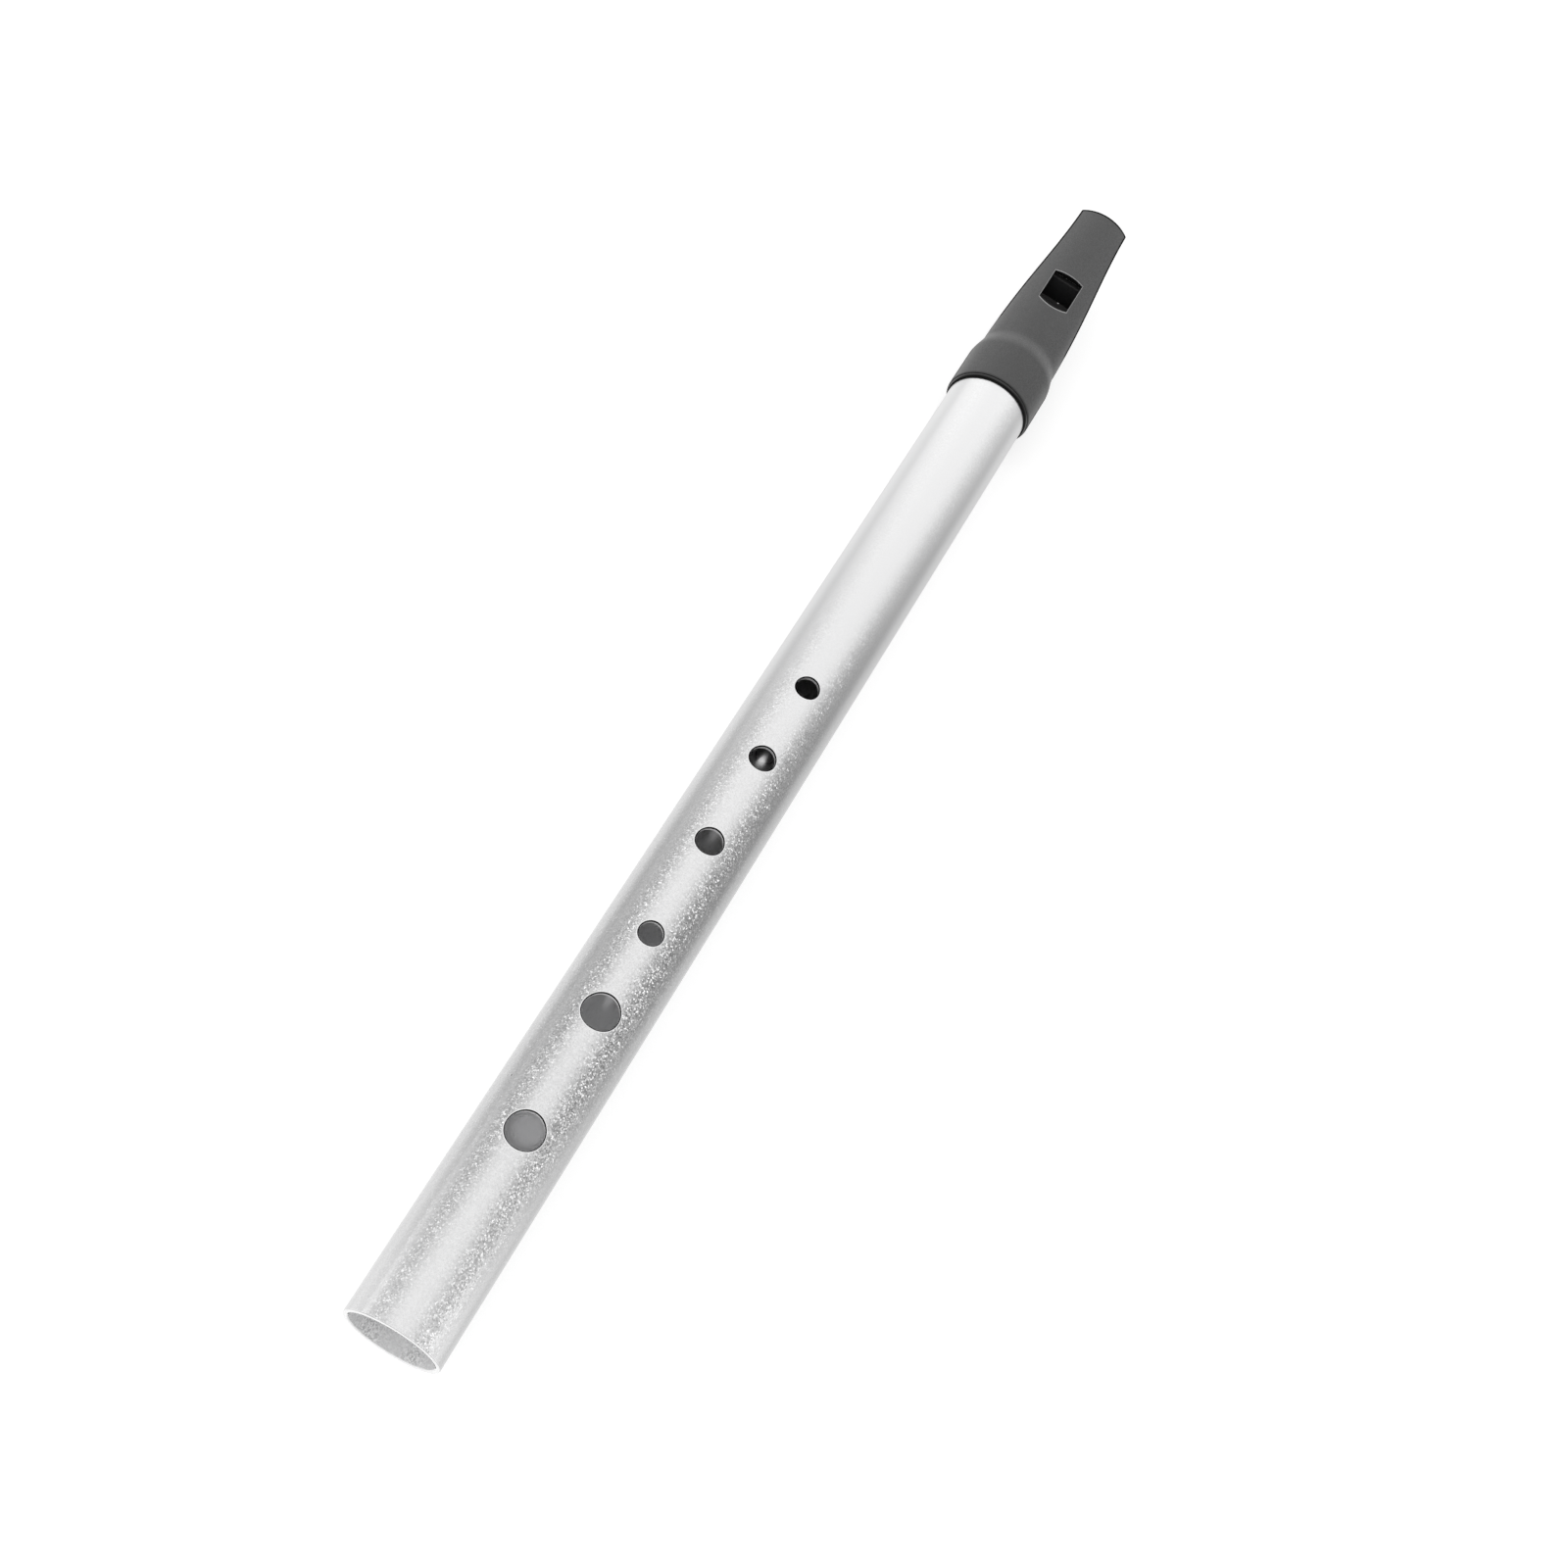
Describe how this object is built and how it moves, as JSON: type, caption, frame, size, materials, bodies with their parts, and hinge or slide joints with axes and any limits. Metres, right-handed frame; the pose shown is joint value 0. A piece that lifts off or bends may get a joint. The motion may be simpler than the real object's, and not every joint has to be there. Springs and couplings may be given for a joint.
{
  "type": "tin whistle",
  "caption": "Six-hole tin whistle: aluminium tube with a black moulded fipple mouthpiece that slides and turns on it for tuning.",
  "frame": {"origin": "on the tube's axis, halfway between the foot's end face and the mouth end (the centre of the box round the whole whistle)", "axes": "+X along the tube's axis from the open foot to the mouth end; +Z out through the finger holes and the window; +Y across"},
  "size_m": [0.2926, 0.0194, 0.0194],
  "materials": {
    "tube": "bead-blasted and clear anodised, satin silver with a fine sparkling grain",
    "sleeve": "glossy black moulding",
    "head": "satin black moulded plastic with soft sheen on rounded edges",
    "block": "plain satin black moulding"
  },
  "bodies": {
    "tube": {"body_tube": "tube"},
    "sleeve": {"tuning_sleeve": "sleeve"},
    "head": {"head_shell": "head", "fipple_block": "block"}
  },
  "joints": [
    {"name": "tuning_slide", "type": "slide", "parent": "tube", "child": "sleeve", "axis": [1, 0, 0], "range_m": [-0.0015, 0.006]},
    {"name": "head_swivel", "type": "hinge", "parent": "sleeve", "child": "head", "pos_m": [0.0855, 0, 0], "axis": [1, 0, 0], "continuous": true}
  ]
}
